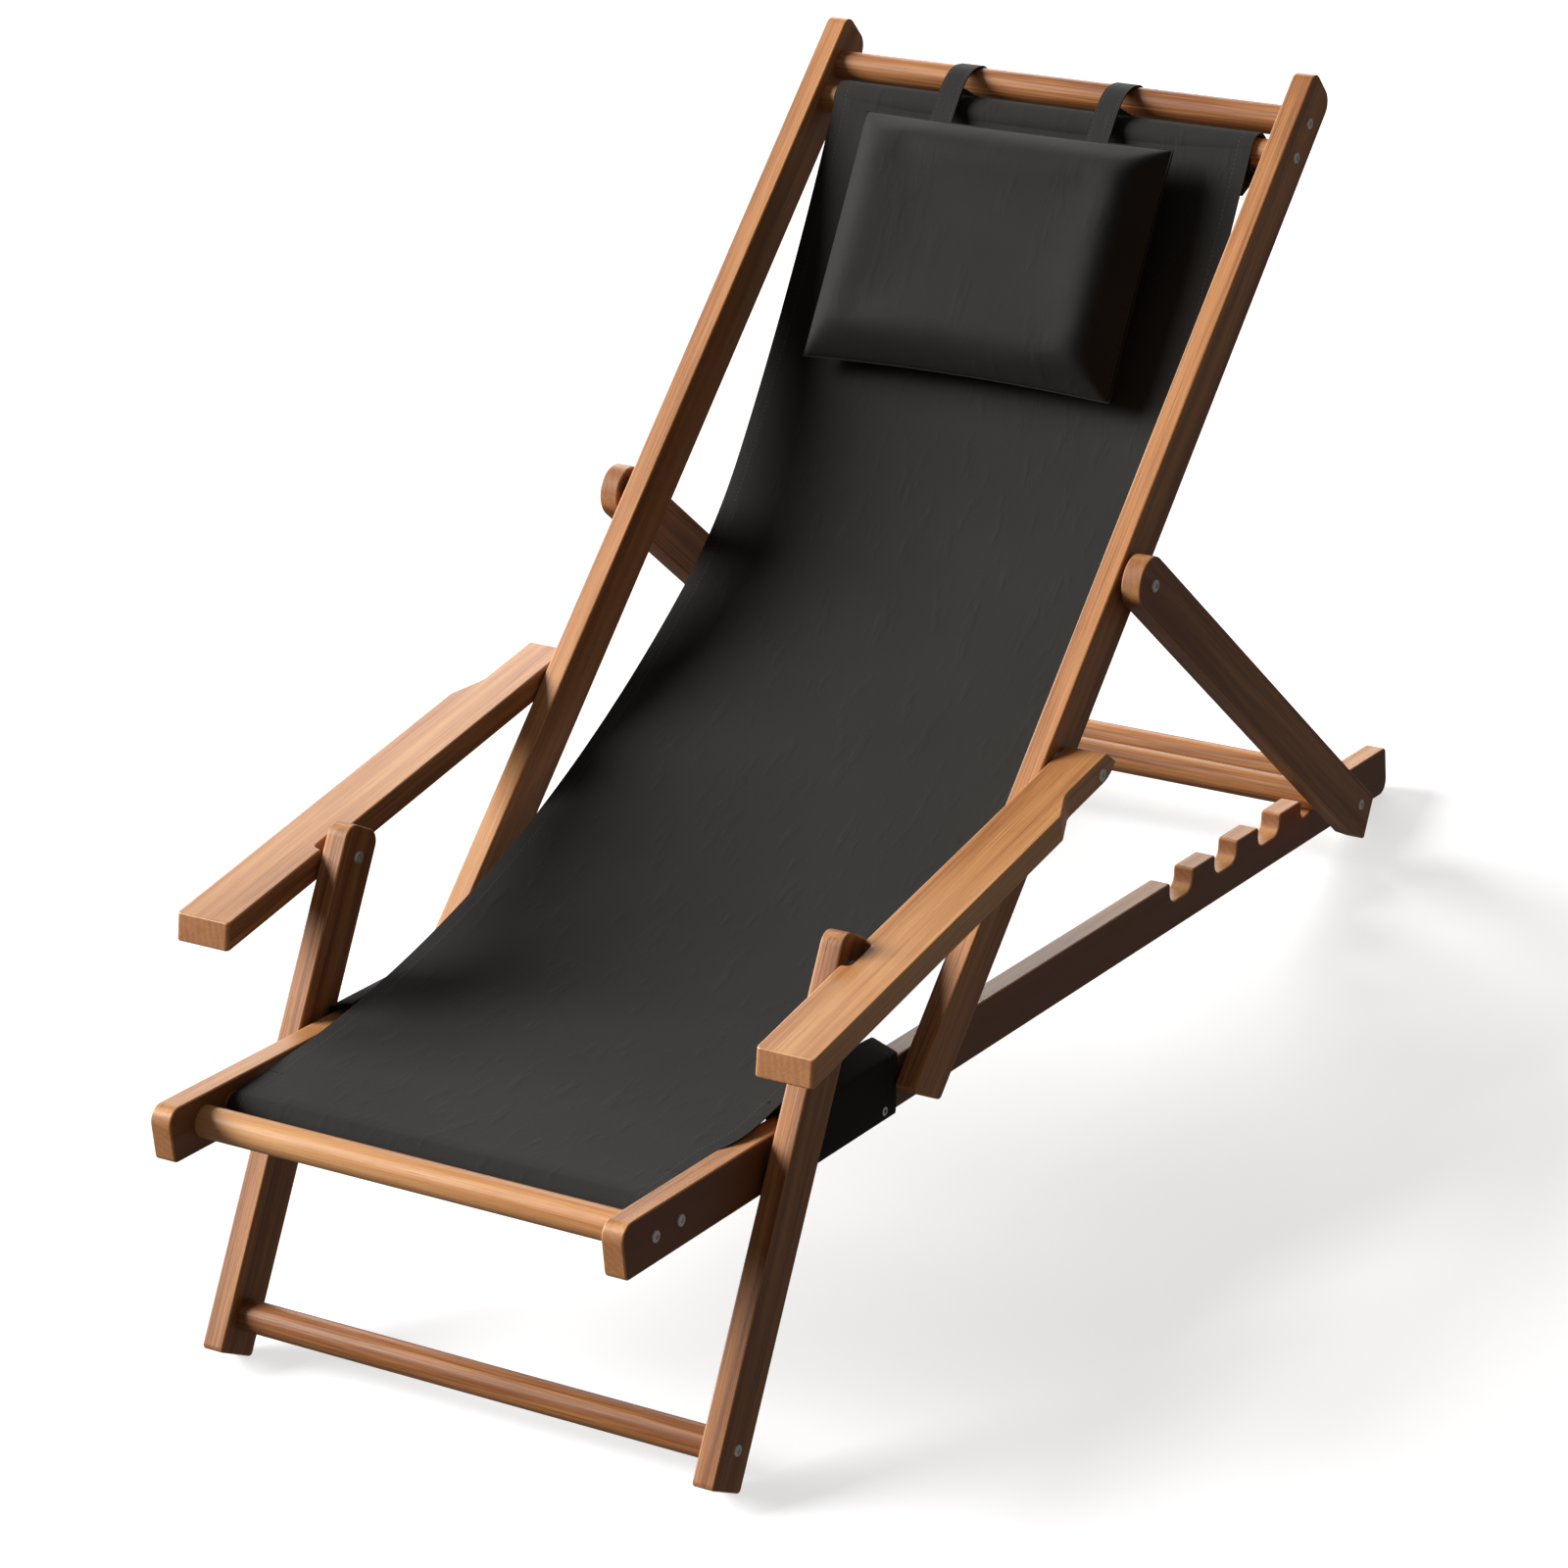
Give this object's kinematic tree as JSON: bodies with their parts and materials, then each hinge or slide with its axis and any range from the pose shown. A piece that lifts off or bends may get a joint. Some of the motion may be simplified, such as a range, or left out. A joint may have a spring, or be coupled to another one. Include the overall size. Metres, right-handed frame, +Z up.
{
  "type": "folding_sun_lounger",
  "caption": "Folding sun lounger with a charcoal cloth sling, a head pillow, flat wooden armrests, notched base rails and a back frame held up by hinged prop arms",
  "frame": {"origin": "On the floor, on the middle plane, midway between the front and rear ends of the base rails", "axes": "+X to the sitter's left, -Y the way the sitter faces, +Z up"},
  "size_m": [0.6, 1.366, 0.7912],
  "materials": {
    "oiled_wood": "satin oiled",
    "sling_cloth": "matte woven",
    "pillow_cloth": "matte woven",
    "strap_webbing": "matte woven",
    "steel": "brushed"
  },
  "bodies": {
    "base": {"base_rail_left": "oiled_wood", "base_rail_right": "oiled_wood", "front_crossbar": "oiled_wood", "front_sling_bar": "oiled_wood", "rear_crossbar": "oiled_wood", "rail_wrap_left": "sling_cloth", "rail_wrap_right": "sling_cloth", "wrap_screws": "steel", "base_screws": "steel", "base_pivot_bolts": "steel", "base_pivot_washers": "steel", "sling": "sling_cloth"},
    "back": {"back_rail_left": "oiled_wood", "back_rail_right": "oiled_wood", "sling_crossbar": "oiled_wood", "top_crossbar": "oiled_wood", "back_screws": "steel", "prop_pivot_bolts": "steel", "prop_pivot_washers": "steel", "arm_pivot_bolts": "steel", "arm_pivot_washers": "steel", "pillow": "pillow_cloth", "pillow_strap_left": "strap_webbing", "pillow_strap_right": "strap_webbing"},
    "legs": {"front_leg_left": "oiled_wood", "front_leg_right": "oiled_wood", "leg_crossbar": "oiled_wood", "leg_screws": "steel", "arm_leg_bolts": "steel", "arm_leg_collars": "steel"},
    "arm_left": {"armrest_left": "oiled_wood"},
    "arm_right": {"armrest_right": "oiled_wood"},
    "prop": {"prop_arm_left": "oiled_wood", "prop_arm_right": "oiled_wood", "prop_crossbar": "oiled_wood", "prop_screws": "steel"}
  },
  "joints": [
    {"name": "back_hinge", "type": "hinge", "parent": "base", "child": "back", "pos_m": [0, -0.25599, 0.18902], "axis": [1, 0, 0], "range_deg": [-40, 0], "deforming": ["sling"]},
    {"name": "leg_hinge", "type": "hinge", "parent": "base", "child": "legs", "pos_m": [0, -0.46198, 0.22587], "axis": [1, 0, 0], "range_deg": [-50, 0]},
    {"name": "arm_left_hinge", "type": "hinge", "parent": "back", "child": "arm_left", "pos_m": [0, -0.01999, 0.3657], "axis": [1, 0, 0], "range_deg": [0, 28]},
    {"name": "arm_right_hinge", "type": "hinge", "parent": "back", "child": "arm_right", "pos_m": [0, -0.01999, 0.3657], "axis": [1, 0, 0], "range_deg": [0, 28]},
    {"name": "prop_hinge", "type": "hinge", "parent": "back", "child": "prop", "pos_m": [0, 0.12362, 0.47321], "axis": [1, 0, 0], "range_deg": [0, 88]}
  ],
  "couplings": [
    {"joint": "leg_hinge", "follows": "back_hinge", "ratio": 1.22},
    {"joint": "arm_left_hinge", "follows": "back_hinge", "ratio": -0.68},
    {"joint": "arm_right_hinge", "follows": "back_hinge", "ratio": -0.68},
    {"joint": "prop_hinge", "follows": "back_hinge", "ratio": -2.15}
  ]
}
